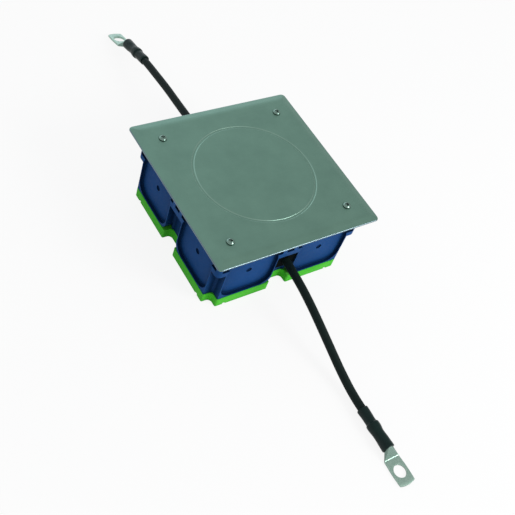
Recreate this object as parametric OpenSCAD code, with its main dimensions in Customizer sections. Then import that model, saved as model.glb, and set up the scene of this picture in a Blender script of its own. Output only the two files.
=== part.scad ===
// Earthing test joint box: a moulded box with a screwed metal cover. Two earth cables come out of
// opposite sides. Inside the box they are joined by a removable test link.
// Millimetres. Origin at the centre of the base's underside, Z up to the cover.
// The front cable leaves towards -Y and the back cable towards +Y.

/* [Base plate] */
// Width of the base over its flat sides
base_w = 159.2; // [150:0.2:170]
// Height of the base
base_h = 11; // [8:0.5:16]
// How far the corner notches and the mid notches cut into each side
notch_d = 9.6; // [6:0.1:12]
// Width of the notch in the middle of each side
notch_w = 21.4; // [18:0.2:26]
// Radius in the inner corners of the base's notches
notch_r = 4.4; // [2:0.2:5]
// Radius on the outer corners of the base, at the mouths of its notches
mouth_r = 1.6; // [0.4:0.2:2]
// Width of the drain grooves across the underside
groove_w = 3; // [2:0.5:5]
// Depth of the drain grooves
groove_d = 1.6; // [1:0.1:3]
// Distance from a corner notch to the nearest drain groove
groove_in = 11.5; // [6:0.5:16]

/* [Box body] */
// Step from the base's side to the body's side
body_inset = 0.4; // [0.2:0.1:1]
// Height of the body, without its gasket
body_h = 66; // [62:0.5:80]
// Wall behind the knock-out panels and the notches
wall = 3; // [2.4:0.2:3.6]
// Thickness of the floor
floor_t = 3; // [2:0.5:5]
// How much wider than the base's notches the body's notches are, on each side
notch_step = 0.7; // [0.3:0.1:1]
// Height from the body's underside to the collar above the notches
collar_z = 37; // [34:0.5:42]
// Radius in the inner corners of the body's notches
body_notch_r = 3; // [1.5:0.5:4]
// Outer corner radius of the collar and the top rim
collar_r = 5; // [3:0.5:7]

/* [Knock-out panels] */
// Depth of a panel's recess
panel_d = 3.3; // [2:0.1:5]
// Thin rim between a panel and the notches beside it
panel_rim = 0.9; // [0.7:0.1:2]
// Height from the body's underside to the panel's lower edge
panel_z = 1.2; // [1:0.1:4]
// Height of the panel recess
panel_h = 54; // [46:0.5:56]
// Radius of the panel's lower corners
panel_low_r = 13; // [8:0.5:16]
// Radius of the panel's upper corners
panel_top_r = 20; // [12:0.5:22]
// Height of the dimple above the body's underside
dimple_z = 29; // [26:0.5:36]
// Diameter of the dimple
dimple_dia = 5.8; // [2:0.1:6]
// Depth of the dimple
dimple_depth = 1.2; // [0.5:0.1:2]

/* [Pockets under the cover] */
// Height from the body's underside to the pockets
pocket_z = 43; // [42:0.5:54]
// Height of the pockets
pocket_h = 11.5; // [6:0.5:12]
// Depth of the pockets
pocket_d = 3.8; // [2:0.1:4]
// Half width of the middle pocket
mid_pocket = 4; // [2:0.5:5]
// Width of the ribs between the pockets
pocket_rib = 4.6; // [3:0.2:6]
// Width of the side pockets
side_pocket = 8.4; // [5:0.2:9]
// Width of the corner pockets
corner_pocket = 11; // [6:0.5:12]

/* [Cover] */
// Width of the square cover
cover_w = 180; // [170:1:200]
// Thickness of the cover sheet
cover_t = 1.5; // [1:0.1:3]
// Corner radius of the cover
cover_r = 4.5; // [3:0.5:10]
// Width of the bent edge
rim_w = 8; // [6:0.5:10]
// How far the edge is bent down
rim_drop = 2; // [1:0.1:3]
// Radius of the pressed ring at its middle
ring_r = 59.25; // [40:0.25:62]
// Width of the pressed ring
ring_w = 3.4; // [2:0.1:5]
// Depth of the pressed ring
ring_d = 0.5; // [0.2:0.1:0.8]
// Spacing of the four cover screws, the same both ways
screw_pitch = 131; // [128:0.5:131]
// Thickness of the gasket
gasket_t = 1.5; // [1:0.1:3]
// Width of the gasket frame
gasket_w = 4; // [3:0.1:4.5]

/* [Cover screws] */
// Shank diameter of the cover screws
screw_dia = 4; // [3:0.5:5]
// Shank length of the cover screws
screw_len = 14; // [10:0.5:18]
// Diameter of the pan heads
head_dia = 7.6; // [7:0.1:10]
// Height of the pan heads
head_h = 2.8; // [1.6:0.1:3]
// Length of the threaded inserts
insert_len = 8; // [5:0.5:10]
// Wall of the threaded inserts
insert_wall = 1; // [0.8:0.1:1.4]
// Wall of the posts around the threaded inserts
post_wall = 2.2; // [2:0.1:3]

/* [Base screws] */
// Spacing of the four base screws, the same both ways
base_screw_pitch = 84; // [70:1:96]
// Shank diameter of the base screws
base_screw_dia = 4; // [3:0.5:5]
// Length of the base screws
base_screw_len = 20; // [16:0.5:22]
// Head diameter of the base screws
base_head_dia = 8; // [7:0.1:10]

/* [Cable] */
// Outer diameter of the cable
cable_dia = 8.2; // [6:0.1:9]
// Height of the cable's middle where it comes out
exit_z = 39; // [36:0.5:41]
// Height of the entry bush
bush_h = 17; // [15:0.5:18]
// How far the bush's face lies behind the body's side
bush_recess = 1.2; // [0.5:0.1:3]
// Diameter of the bush's spigot in the wall
spigot_dia = 13; // [11:0.5:14]
// How far the spigot stands inside the wall
spigot_len = 2; // [1:0.5:6]

/* [Cable lug] */
// Length of the lug's barrel
barrel_len = 24; // [18:1:30]
// Outer diameter of the lug's barrel
barrel_dia = 9; // [8.5:0.1:9.4]
// Length of the taper between the barrel and the palm
taper_len = 7.5; // [5:0.5:10]
// Distance from the taper to the middle of the stud hole
palm_hole = 12.9; // [11:0.1:16]
// Distance from the middle of the stud hole to the tip
palm_tip = 13.2; // [9:0.1:15]
// Width of the palm at the taper
palm_w = 16; // [15:0.1:17]
// Width of the palm near its tip
palm_tip_w = 16.6; // [16.4:0.1:20]
// Thickness of the palm
palm_t = 2.2; // [2:0.1:3]
// Diameter of the stud hole
stud_hole = 12.5; // [12.2:0.1:13]
// Largest outer diameter of the sleeve, over the mouth of the barrel, which lies on the ground
sleeve_dia = 12.6; // [12:0.1:13]
// Outer diameter of the sleeve's waist over the barrel
sleeve_waist_dia = 11.4; // [10.6:0.1:12]
// Outer diameter of the sleeve over the cable
sleeve_small_dia = 10.8; // [10:0.1:11.4]
// Length of the sleeve over the cable
sleeve_tail = 18; // [10:1:24]

/* [Test joint] */
// Diameter of the link bolts
bolt_dia = 12; // [10:0.5:12]
// Width across the flats of the bolt heads and nuts
hex_af = 19; // [18:0.5:20]
// Height of the bolt heads
bolt_head_h = 7.4; // [5:0.2:8]
// Height of the nuts
nut_h = 10; // [6:0.5:11]
// Bolt length that stands above each nut
bolt_spare = 4; // [2:0.5:6]
// Width of the test link
link_w = 25; // [20:1:30]
// Thickness of the test link
link_t = 4; // [3:0.5:6]
// Outer diameter of the flat washers
washer_dia = 24; // [20:0.5:25]
// Thickness of the flat washers
washer_t = 2.5; // [1:0.1:3]
// Outer diameter of the spring washers
spring_dia = 20.6; // [18:0.2:22]
// Thickness of the spring washers
spring_t = 2.5; // [2:0.1:3]
// Width of the insulating block
block_w = 34; // [32:1:40]
// Length of the insulating block beyond each bolt
block_end = 15; // [13:0.5:18]
// How far each fixing ear stands out of the block
ear_len = 14; // [12:0.5:18]
// Thickness of the fixing ears
ear_t = 6; // [4:0.5:8]
// Diameter of the block screws
block_screw_dia = 4; // [3:0.5:5]
// Length of the block screws
block_screw_len = 11; // [9:0.5:12]

/* [Hidden] */
$fn = 64;

// Colours
green = "#4fb83a";
blue = "#2d5a92";
steel = "#8f9f9a";
black = "#15191b";
tin = "#a9b5af";
brass = "#b8994e";
copper = "#b5744a";
resin = "#8c2f22";
zinc = "#b9bdbd";

// Small clearances between fitted pieces
thread_gap = 0.05;
slip_gap = 0.1;
hole_gap = 0.25;
over = 0.5;

// Heights
body_z = base_h;
floor_top = body_z + floor_t;
body_top = body_z + body_h;
cover_under = body_top + gasket_t;
cover_top = cover_under + cover_t;
collar_under = body_z + collar_z;

// Half sizes
base_half = base_w / 2;
body_half = base_half - body_inset;
corner_in = base_half - notch_d;
body_corner_in = corner_in - notch_step;
mid_in = corner_in - notch_step / 3;
mid_half = notch_w / 2 + notch_step;
cavity_half = body_half - panel_d - wall;
cavity_corner = body_corner_in - wall;
cavity_mid = mid_in - wall;
cavity_mid_half = mid_half + wall;
screw_at = screw_pitch / 2;
quarter = 90;
sides = [0, 1, 2, 3];
corners = [[-1, -1], [1, -1], [1, 1], [-1, 1]];

// Panel and pocket places along a side
panel_from = mid_half + panel_rim;
panel_to = body_corner_in - panel_rim;
panel_w = panel_to - panel_from;
panel_mid = (panel_from + panel_to) / 2;
side_from = mid_pocket + pocket_rib;
corner_pocket_to = body_half - collar_r + over;
foot_r = 9;

// Screw sizes
dome_r = 0.62 * head_dia;
cross_w = 1.3;
cross_len = 4.6;
cross_d = 1.7;
head_turn = [20, 65, -25, 50];
cover_hole = screw_dia + 2 * hole_gap;
insert_dia = screw_dia + 2 * insert_wall;
post_r = insert_dia / 2 + post_wall;
base_screw_at = base_screw_pitch / 2;
base_post_r = base_screw_dia / 2 + post_wall;
tip_room = 1;
base_pilot_h = base_screw_len - base_h + tip_room;
base_post_h = base_pilot_h - floor_t + tip_room;
head_edge = 0.6;

// Lug places, measured along the lug from the mouth of its barrel
fold_at = barrel_len + taper_len;
hole_at = fold_at + palm_hole;
lug_len = hole_at + palm_tip;
palm_under = -sleeve_dia / 2;
tip_round = 22;
palm_corner = 0.4;
taper_slice = 0.2;
sleeve_step = 3;
sleeve_waist_at = 8;

// Test joint places
spigot_end = cavity_mid - spigot_len;
inner_mouth = floor(spigot_end - thread_gap);
bolt_at = inner_mouth - hole_at;
palm_z = exit_z + palm_under;
link_z = palm_z + palm_t;
washer_z = link_z + link_t;
spring_z = washer_z + washer_t;
nut_z = spring_z + spring_t;
bolt_top = nut_z + nut_h + bolt_spare;
block_top = palm_z;
block_half_y = bolt_at + block_end;
ear_at = block_w / 2 + ear_len / 2;
ear_r = ear_len / 2;
ear_post_h = 7;
ear_z = floor_top + ear_post_h;
block_screw_z = ear_z + ear_t;
hex_gap = 0.2;
block_foot = 0.6;
nut_chamfer = 1.1;
spring_slot = 1.4;
spring_turn = 15;

// Bush
bush_front = body_half - bush_recess;
bush_under = collar_under - bush_h;
bush_gap = 0.1;
bush_r = 3;
wall_hole_dia = spigot_dia + 2 * slip_gap;
cable_bore = cable_dia + 2 * thread_gap;

// Routes of the two free cables, from the bush's face to the mouth of the lug's barrel
front_route = [
    [0, -78, 39], [0, -85, 38.6], [0, -93, 37.8], [0, -102, 36.8], [0, -112, 35.2], [0, -122, 33],
    [0, -132, 30.4], [0, -143, 27.1], [0, -154, 23.6], [0, -165, 20], [0, -176, 16.4], [0, -187, 12.9],
    [0, -198, 10], [0, -209, 7.7], [0, -219, 6.6], [0, -229, 6.3], [0, -238, 6.3], [0, -247, 6.3]
];
front_end = [0, -1, 0];
back_route = [
    [0, 78, 39], [0, 86, 39], [0.1, 95, 38.8], [0.3, 105, 38.4], [0.7, 115, 37.7], [1.2, 125, 36.7],
    [1.7, 135, 35.5], [2.3, 145, 34.2], [2.8, 155, 33.1], [3.3, 165, 32.1], [3.7, 175, 31], [4.1, 186, 29.6],
    [4.4, 197, 28.1], [4.8, 208, 26.5], [5.2, 219, 24.8], [5.4, 229, 23], [5.5, 238, 21.2], [5.6, 247, 19.2]
];
back_yaw = 0.6;
back_pitch = -12.5;
back_roll = 4.5;
back_end = [-sin(back_yaw) * cos(back_pitch), cos(back_yaw) * cos(back_pitch), sin(back_pitch)];
back_start = [0, 1, 0];
cord_sides = 12;

function unit(v) = v / norm(v);

// Direction of a route at point i, with fixed directions at both ends
function heading(route, i, first, last) =
    i == 0 ? first :
    i == len(route) - 1 ? last :
    unit(route[i + 1] - route[i - 1]);

// Ring of points around a route point, square to the direction there
function ring_points(p, dir, r, n) =
    let (side = unit(cross(dir, [0, 0, 1])), up = cross(side, dir))
    [for (k = [0:n - 1]) p + r * (cos(360 * k / n) * side + sin(360 * k / n) * up)];

// Tube swept along a route
module cord_tube(route, first, last) {
    count = len(route);
    n = cord_sides;
    points = [
        for (i = [0:count - 1])
            for (q = ring_points(route[i], heading(route, i, first, last), cable_dia / 2, n)) q
    ];
    near_cap = [[for (k = [0:n - 1]) k]];
    far_cap = [[for (k = [n - 1:-1:0]) (count - 1) * n + k]];
    skin = [
        for (i = [0:count - 2])
            for (k = [0:n - 1])
                [i * n + k, (i + 1) * n + k, (i + 1) * n + (k + 1) % n, i * n + (k + 1) % n]
    ];
    polyhedron(points = points, faces = concat(near_cap, skin, far_cap), convexity = 6);
}

// Quarter round left over outside a circle, for rounding a square corner
module corner_waste(r) {
    difference() {
        translate([-over, -over]) square(r + over);
        translate([r, r]) circle(r);
    }
}

// Square with round corners
module round_square(half, r) {
    difference() {
        square(2 * half, center = true);
        for (s = sides)
            rotate(quarter * s) translate([-half, -half]) corner_waste(r);
    }
}

// Square outline with a notch in each corner and in the middle of each side
module notched_outline(half, corner, mid, mid_w, r) {
    difference() {
        square(2 * half, center = true);
        for (s = sides)
            rotate(quarter * s) {
                corner_notch(half, corner, r);
                mid_notch(half, mid, mid_w, r);
            }
    }
}

// Rounds the outer corners where the notches open in the sides
module mouth_rounding(half, corner, mid_w, r) {
    for (s = sides)
        rotate(quarter * s)
            for (t = [0, 1])
                mirror([0, t, 0]) {
                    translate([half, mid_w]) mirror([1, 0]) corner_waste(r);
                    translate([half, corner]) mirror([1, 0]) mirror([0, 1]) corner_waste(r);
                }
}

// Area cut away at one corner, with a radius in its inner corner
module corner_notch(half, corner, r) {
    difference() {
        translate([corner, corner]) square(half);
        difference() {
            translate([corner - over, corner - over]) square(r + over);
            translate([corner + r, corner + r]) circle(r);
        }
    }
}

// Area cut away in the middle of the side at +X
module mid_notch(half, mid, mid_w, r) {
    difference() {
        translate([mid, -mid_w]) square([half, 2 * mid_w]);
        for (t = [0, 1])
            mirror([0, t, 0]) difference() {
                translate([mid - over, mid_w - r]) square([r + over, r + over]);
                translate([mid + r, mid_w - r]) circle(r);
            }
    }
}

// Four copies turned about the box's upright axis
module each_side() {
    for (s = sides)
        rotate([0, 0, quarter * s]) children();
}

// A flat shape drawn in X and Z, set on the side at -Y and sunk in by a depth
module side_cut(depth) {
    translate([0, -body_half + depth, 0])
        rotate([quarter, 0, 0])
            linear_extrude(depth + over) children();
}

module base_plate() {
    color(green) difference() {
        linear_extrude(base_h) difference() {
            notched_outline(base_half, corner_in, corner_in, notch_w / 2, notch_r);
            mouth_rounding(base_half, corner_in, notch_w / 2, mouth_r);
        }
        each_side()
            translate([corner_in - groove_in, -base_w, -over])
                cube([groove_w, 2 * base_w, groove_d + over]);
        for (c = corners)
            translate([c[0] * base_screw_at, c[1] * base_screw_at, 0]) {
                translate([0, 0, -over]) cylinder(d = base_screw_dia + 2 * hole_gap, h = base_h + 2 * over);
                translate([0, 0, -over])
                    rotate_extrude() head_section(base_head_dia / 2 + hole_gap, base_screw_dia / 2, over);
            }
    }
}

// Half section of a countersunk head, widest at its underside
module head_section(r_wide, r_small, below) {
    cone_top = below + head_edge + r_wide - r_small;
    polygon([[0, 0], [r_wide, 0], [r_wide, below + head_edge], [r_small, cone_top], [0, cone_top]]);
}

// Outline of a knock-out panel in X and Z, to the right of the mid notch
module panel_outline() {
    translate([panel_from, body_z + panel_z])
        difference() {
            square([panel_w, panel_h]);
            corner_waste(panel_low_r);
            translate([panel_w, 0]) mirror([1, 0]) corner_waste(panel_low_r);
            translate([0, panel_h]) mirror([0, 1]) corner_waste(panel_top_r);
            translate([panel_w, panel_h]) mirror([1, 0]) mirror([0, 1]) corner_waste(panel_top_r);
        }
}

// Pockets between the panels, above the collar, to the right of the middle
module pocket_outline() {
    translate([side_from, body_z + pocket_z]) square([side_pocket, pocket_h]);
    translate([corner_pocket_to - corner_pocket, body_z + pocket_z]) square([corner_pocket, pocket_h]);
}

// Everything that is sunk into the side at -Y
module side_details() {
    for (t = [0, 1])
        mirror([t, 0, 0]) {
            side_cut(panel_d) panel_outline();
            side_cut(pocket_d) pocket_outline();
            side_cut(notch_d) translate([mid_half, body_z]) corner_waste(foot_r);
            side_cut(panel_d + dimple_depth)
                translate([panel_mid, body_z + dimple_z]) circle(d = dimple_dia);
        }
    side_cut(pocket_d)
        translate([-mid_pocket, body_z + pocket_z]) square([2 * mid_pocket, pocket_h]);
}

module box_body() {
    color(blue) difference() {
        union() {
            difference() {
                union() {
                    translate([0, 0, body_z]) linear_extrude(collar_z)
                        notched_outline(body_half, body_corner_in, mid_in, mid_half, body_notch_r);
                    translate([0, 0, collar_under]) linear_extrude(body_h - collar_z)
                        round_square(body_half, collar_r);
                }
                translate([0, 0, floor_top]) linear_extrude(body_h)
                    notched_outline(cavity_half, cavity_corner, cavity_mid, cavity_mid_half, body_notch_r);
                each_side() side_details();
            }
            screw_posts();
            floor_posts();
        }
        for (c = corners) {
            translate([c[0] * screw_at, c[1] * screw_at, body_top - screw_len])
                cylinder(d = cover_hole, h = screw_len + over);
            translate([c[0] * screw_at, c[1] * screw_at, body_top - insert_len])
                cylinder(d = insert_dia, h = insert_len + over);
            translate([c[0] * base_screw_at, c[1] * base_screw_at, body_z - over])
                cylinder(d = base_screw_dia, h = base_pilot_h + over);
        }
        for (t = [-1, 1]) {
            translate([t * ear_at, 0, block_screw_z - block_screw_len - tip_room])
                cylinder(d = block_screw_dia, h = block_screw_len);
            translate([0, t * (cavity_mid + wall / 2), exit_z]) rotate([quarter, 0, 0])
                cylinder(d = wall_hole_dia, h = wall + 2 * over, center = true);
        }
    }
}

// Posts for the cover screws, which stay inside the corner notches
module screw_posts() {
    intersection() {
        for (c = corners)
            translate([c[0] * screw_at, c[1] * screw_at, body_z]) cylinder(r = post_r, h = body_h);
        union() {
            translate([0, 0, body_z]) linear_extrude(collar_z)
                notched_outline(body_half, body_corner_in, mid_in, mid_half, body_notch_r);
            translate([0, 0, collar_under]) linear_extrude(body_h - collar_z)
                round_square(body_half - pocket_d, collar_r);
        }
    }
}

// Posts on the floor for the base screws and under the block's ears
module floor_posts() {
    for (c = corners)
        translate([c[0] * base_screw_at, c[1] * base_screw_at, body_z])
            cylinder(r = base_post_r, h = floor_t + base_post_h);
    for (t = [-1, 1])
        translate([t * ear_at, 0, body_z]) cylinder(r = ear_r - over, h = floor_t + ear_post_h);
}

// Keeps what lies inside four planes that slope down from the line at half, at height z
module slope_trim(half, z) {
    slope = atan(rim_drop / rim_w);
    big = 2 * cover_w;
    intersection() {
        children();
        under_slopes(half, z, slope, big);
    }
}

// Space under the four sloping planes and the flat top between them
module under_slopes(half, z, slope, big) {
    difference() {
        translate([-big / 2, -big / 2, z - big]) cube(big);
        each_side()
            translate([half, 0, z]) rotate([0, slope, 0])
                translate([0, -big / 2, 0]) cube([big, big, big]);
    }
}

module cover_plate() {
    flat_half = cover_w / 2 - rim_w;
    edge_under = cover_under - rim_drop;
    color(steel) difference() {
        slope_trim(flat_half, cover_top)
            translate([0, 0, edge_under]) linear_extrude(cover_t + rim_drop)
                round_square(cover_w / 2, cover_r);
        slope_trim(flat_half, cover_under)
            translate([0, 0, edge_under - over]) linear_extrude(rim_drop + over)
                square(cover_w + over, center = true);
        translate([0, 0, cover_top - ring_d]) rotate_extrude($fn = 128)
            polygon([[ring_r - ring_w / 2 + ring_d, 0], [ring_r + ring_w / 2 - ring_d, 0],
                     [ring_r + ring_w / 2 + over, ring_d + over], [ring_r - ring_w / 2 - over, ring_d + over]]);
        for (c = corners)
            translate([c[0] * screw_at, c[1] * screw_at, edge_under])
                cylinder(d = cover_hole, h = 2 * cover_t + rim_drop);
    }
}

// Rubber frame on the body's rim, which ends before the cover's edge bends down
module cover_gasket() {
    outer = min(body_half, cover_w / 2 - rim_w) - over;
    color(black) translate([0, 0, body_top]) linear_extrude(gasket_t) difference() {
        round_square(outer, collar_r);
        square(2 * (outer - gasket_w), center = true);
    }
}

// Cross recess cut down from the top of a head
module cross_recess(len, w, depth) {
    for (a = [0, quarter])
        rotate([0, 0, a]) translate([-len / 2, -w / 2, -depth]) cube([len, w, depth + over]);
}

// Pan head screw, its head's underside at height 0
module pan_screw(dia, len) {
    difference() {
        union() {
            intersection() {
                cylinder(d = head_dia, h = head_h);
                translate([0, 0, head_h - dome_r]) sphere(dome_r);
            }
            translate([0, 0, -len]) cylinder(d = dia - 2 * thread_gap, h = len);
        }
        translate([0, 0, head_h]) cross_recess(cross_len, cross_w, cross_d);
    }
}

module cover_screw(i) {
    color(zinc) translate([corners[i][0] * screw_at, corners[i][1] * screw_at, cover_top])
        rotate([0, 0, head_turn[i]]) pan_screw(screw_dia, screw_len);
}

module thread_insert(i) {
    color(brass) translate([corners[i][0] * screw_at, corners[i][1] * screw_at, body_top - insert_len])
        difference() {
            cylinder(d = insert_dia, h = insert_len);
            translate([0, 0, -over]) cylinder(d = screw_dia, h = insert_len + 2 * over);
        }
}

module base_screw(i) {
    r_head = base_head_dia / 2;
    r_shank = base_screw_dia / 2 - thread_gap;
    color(zinc) translate([corners[i][0] * base_screw_at, corners[i][1] * base_screw_at, 0])
        difference() {
            union() {
                rotate_extrude() head_section(r_head, r_shank, 0);
                cylinder(r = r_shank, h = base_screw_len);
            }
            mirror([0, 0, 1]) cross_recess(cross_len, cross_w, cross_d);
        }
}

// Rubber bush in the mid notch at +Y, with a spigot through the wall
module entry_bush() {
    back = mid_in + bush_gap;
    half = mid_half - bush_gap;
    color(black) difference() {
        union() {
            translate([0, bush_front, bush_under]) rotate([quarter, 0, 0])
                linear_extrude(bush_front - back - body_notch_r) bush_face(half);
            translate([0, back + body_notch_r, bush_under]) rotate([quarter, 0, 0])
                linear_extrude(body_notch_r) bush_face(half - body_notch_r);
            translate([0, spigot_end, exit_z]) rotate([-quarter, 0, 0])
                cylinder(d = spigot_dia, h = back - spigot_end + over);
        }
        translate([0, spigot_end - over, exit_z]) rotate([-quarter, 0, 0])
            cylinder(d = cable_bore, h = body_half);
    }
}

// Front outline of the bush in X and Z, from its underside up to the collar
module bush_face(half) {
    difference() {
        translate([-half, 0]) square([2 * half, bush_h - bush_gap]);
        translate([-half, 0]) corner_waste(bush_r);
        translate([half, 0]) mirror([1, 0]) corner_waste(bush_r);
    }
}

// Length of cable inside the box, towards +Y
module cable_tail() {
    color(black) translate([0, inner_mouth, exit_z]) rotate([-quarter, 0, 0])
        cylinder(d = cable_dia, h = bush_front - inner_mouth);
}

// Outline of the lug's palm seen from above, from the fold to the slightly round tip
module palm_outline() {
    palm_len = lug_len - fold_at;
    intersection() {
        translate([0, fold_at])
            polygon([[-palm_w / 2, 0], [palm_w / 2, 0], [palm_tip_w / 2, palm_len - palm_corner],
                     [palm_tip_w / 2 - palm_corner, palm_len], [palm_corner - palm_tip_w / 2, palm_len],
                     [-palm_tip_w / 2, palm_len - palm_corner]]);
        translate([0, lug_len - tip_round]) circle(tip_round);
    }
}

// Cable lug along +Y, with the mouth of its barrel at the origin and its palm below the barrel's axis
module cable_lug() {
    difference() {
        union() {
            rotate([-quarter, 0, 0]) cylinder(d = barrel_dia, h = barrel_len);
            hull() {
                translate([0, barrel_len - taper_slice, 0]) rotate([-quarter, 0, 0])
                    cylinder(d = barrel_dia, h = taper_slice, $fn = 32);
                translate([-palm_w / 2, fold_at - taper_slice, palm_under])
                    cube([palm_w, taper_slice, palm_t]);
            }
            translate([0, 0, palm_under]) linear_extrude(palm_t) palm_outline();
        }
        translate([0, hole_at, palm_under - over]) cylinder(d = stud_hole, h = palm_t + 2 * over);
    }
}

// Shrunk sleeve along +Y over the cable's end and the lug's barrel, the barrel's mouth at the origin
module lug_sleeve() {
    grip = barrel_dia / 2 + slip_gap;
    loose = cable_dia / 2 + slip_gap;
    small = sleeve_small_dia / 2;
    waist = sleeve_waist_dia / 2;
    wide = sleeve_dia / 2;
    color(black) rotate([-quarter, 0, 0]) rotate_extrude()
        polygon([[loose, -sleeve_tail], [small, -sleeve_tail], [small, -sleeve_step], [wide, 0],
                 [wide, sleeve_step], [waist, sleeve_waist_at], [(waist + wide) / 2, barrel_len],
                 [grip, barrel_len], [grip, -slip_gap], [loose, -slip_gap]]);
}

// Places a piece that is built along +Y on the front cable's end
module at_front_end() {
    translate(front_route[len(front_route) - 1]) rotate([0, 0, 180]) children();
}

// Places a piece that is built along +Y on the back cable's end
module at_back_end() {
    translate(back_route[len(back_route) - 1])
        rotate([back_pitch, 0, back_yaw]) rotate([0, back_roll, 0]) children();
}

// Inner lug on the +Y side, its barrel's mouth towards the bush
module inner_lug() {
    color(tin) translate([0, inner_mouth, exit_z]) rotate([0, 0, 180]) cable_lug();
}

// Hexagon with a given width across its flats
module hexagon(af) {
    circle(d = af / cos(30), $fn = 6);
}

module insulator_block() {
    color(resin) difference() {
        union() {
            translate([-block_w / 2, -block_half_y, floor_top])
                cube([block_w, 2 * block_half_y, block_top - floor_top]);
            for (t = [-1, 1])
                translate([t * ear_at, 0, ear_z]) cylinder(r = ear_r, h = ear_t);
            translate([-ear_at, -ear_r, ear_z]) cube([2 * ear_at, 2 * ear_r, ear_t]);
        }
        for (t = [-1, 1]) {
            translate([0, t * bolt_at, floor_top - over])
                cylinder(d = bolt_dia + 2 * hole_gap, h = block_top);
            translate([0, t * bolt_at, floor_top - over])
                linear_extrude(bolt_head_h + block_foot + over) hexagon(hex_af + 2 * hex_gap);
            translate([t * ear_at, 0, ear_z - over])
                cylinder(d = block_screw_dia + 2 * hole_gap, h = ear_t + 2 * over);
        }
    }
}

module block_screw(t) {
    color(zinc) translate([t * ear_at, 0, block_screw_z])
        pan_screw(block_screw_dia, block_screw_len);
}

// Hexagon bolt with its head caught under the block
module link_bolt(t) {
    color(zinc) translate([0, t * bolt_at, floor_top + block_foot]) {
        linear_extrude(bolt_head_h) hexagon(hex_af);
        cylinder(d = bolt_dia - 2 * thread_gap, h = bolt_top - floor_top - block_foot);
    }
}

module test_link() {
    end_r = link_w / 2;
    color(copper) difference() {
        translate([0, 0, link_z]) linear_extrude(link_t) union() {
            square([link_w, 2 * bolt_at], center = true);
            for (t = [-1, 1])
                translate([0, t * bolt_at]) circle(end_r);
        }
        for (t = [-1, 1])
            translate([0, t * bolt_at, link_z - over]) cylinder(d = stud_hole, h = link_t + 2 * over);
    }
}

module washer(t, z, dia, thick) {
    translate([0, t * bolt_at, z]) difference() {
        cylinder(d = dia, h = thick);
        translate([0, 0, -over]) cylinder(d = stud_hole, h = thick + 2 * over);
    }
}

module spring_washer(t) {
    color(zinc) difference() {
        washer(t, spring_z, spring_dia, spring_t);
        translate([0, t * bolt_at - spring_slot / 2, spring_z - over]) rotate([0, 0, spring_turn])
            cube([spring_dia, spring_slot, spring_t + 2 * over]);
    }
}

module link_nut(t) {
    cone_r = hex_af / 2 - hole_gap;
    wide_r = cone_r + 2 * nut_chamfer;
    color(brass) translate([0, t * bolt_at, nut_z]) difference() {
        intersection() {
            linear_extrude(nut_h) hexagon(hex_af);
            rotate_extrude()
                polygon([[0, 0], [cone_r, 0], [wide_r, nut_chamfer], [wide_r, nut_h - nut_chamfer],
                         [cone_r, nut_h], [0, nut_h]]);
        }
        translate([0, 0, -over]) cylinder(d = bolt_dia, h = nut_h + 2 * over);
    }
}

// Turns a piece on the +Y side round to the front
module front() {
    rotate([0, 0, 180]) children();
}

base_plate();
box_body();
cover_plate();
cover_gasket();
cover_screw(0);  // cover_screw_1
cover_screw(1);  // cover_screw_2
cover_screw(2);  // cover_screw_3
cover_screw(3);  // cover_screw_4
thread_insert(0);  // thread_insert_1
thread_insert(1);  // thread_insert_2
thread_insert(2);  // thread_insert_3
thread_insert(3);  // thread_insert_4
base_screw(0);  // base_screw_1
base_screw(1);  // base_screw_2
base_screw(2);  // base_screw_3
base_screw(3);  // base_screw_4
front() entry_bush();  // entry_bush_front
entry_bush();  // entry_bush_back
color(black) cord_tube(front_route, front_end, front_end);  // cable_front
color(black) cord_tube(back_route, back_start, back_end);  // cable_back
front() cable_tail();  // cable_tail_front
cable_tail();  // cable_tail_back
at_front_end() lug_sleeve();  // sleeve_front
at_back_end() lug_sleeve();  // sleeve_back
color(tin) at_front_end() cable_lug();  // lug_front
color(tin) at_back_end() cable_lug();  // lug_back
front() inner_lug();  // inner_lug_front
inner_lug();  // inner_lug_back
insulator_block();
block_screw(-1);  // block_screw_1
block_screw(1);  // block_screw_2
link_bolt(-1);  // link_bolt_front
link_bolt(1);  // link_bolt_back
test_link();
color(zinc) washer(-1, washer_z, washer_dia, washer_t);  // flat_washer_front
color(zinc) washer(1, washer_z, washer_dia, washer_t);  // flat_washer_back
spring_washer(-1);  // spring_washer_front
spring_washer(1);  // spring_washer_back
link_nut(-1);  // link_nut_front
link_nut(1);  // link_nut_back
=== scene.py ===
"""Earthing test joint box: a blue moulded box on a green base, with a stainless cover sheet.
Two black earth cables with tinned lugs come out of opposite sides.

Everything is in metres in the CAD part's own frame: +Z is up, the front cable leaves towards -Y.
Real sizes are written in millimetres and multiplied by MM.
"""

import math

import bmesh
import bpy
from mathutils import Matrix, Vector


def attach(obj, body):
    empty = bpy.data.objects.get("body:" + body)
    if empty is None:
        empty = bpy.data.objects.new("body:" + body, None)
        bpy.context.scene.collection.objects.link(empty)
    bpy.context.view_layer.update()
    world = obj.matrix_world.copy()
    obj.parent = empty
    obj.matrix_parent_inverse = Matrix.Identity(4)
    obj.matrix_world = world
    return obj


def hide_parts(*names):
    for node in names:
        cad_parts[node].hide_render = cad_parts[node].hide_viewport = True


MM = 0.001
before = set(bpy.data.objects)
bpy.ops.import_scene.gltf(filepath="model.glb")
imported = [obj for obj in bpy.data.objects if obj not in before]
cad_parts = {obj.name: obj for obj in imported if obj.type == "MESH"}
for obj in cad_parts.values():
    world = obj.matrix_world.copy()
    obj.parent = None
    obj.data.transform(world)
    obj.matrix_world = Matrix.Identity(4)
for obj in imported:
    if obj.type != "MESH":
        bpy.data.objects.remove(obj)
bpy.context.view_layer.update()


# Sizes in millimetres. The first ones are worked out from the CAD pieces

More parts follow.
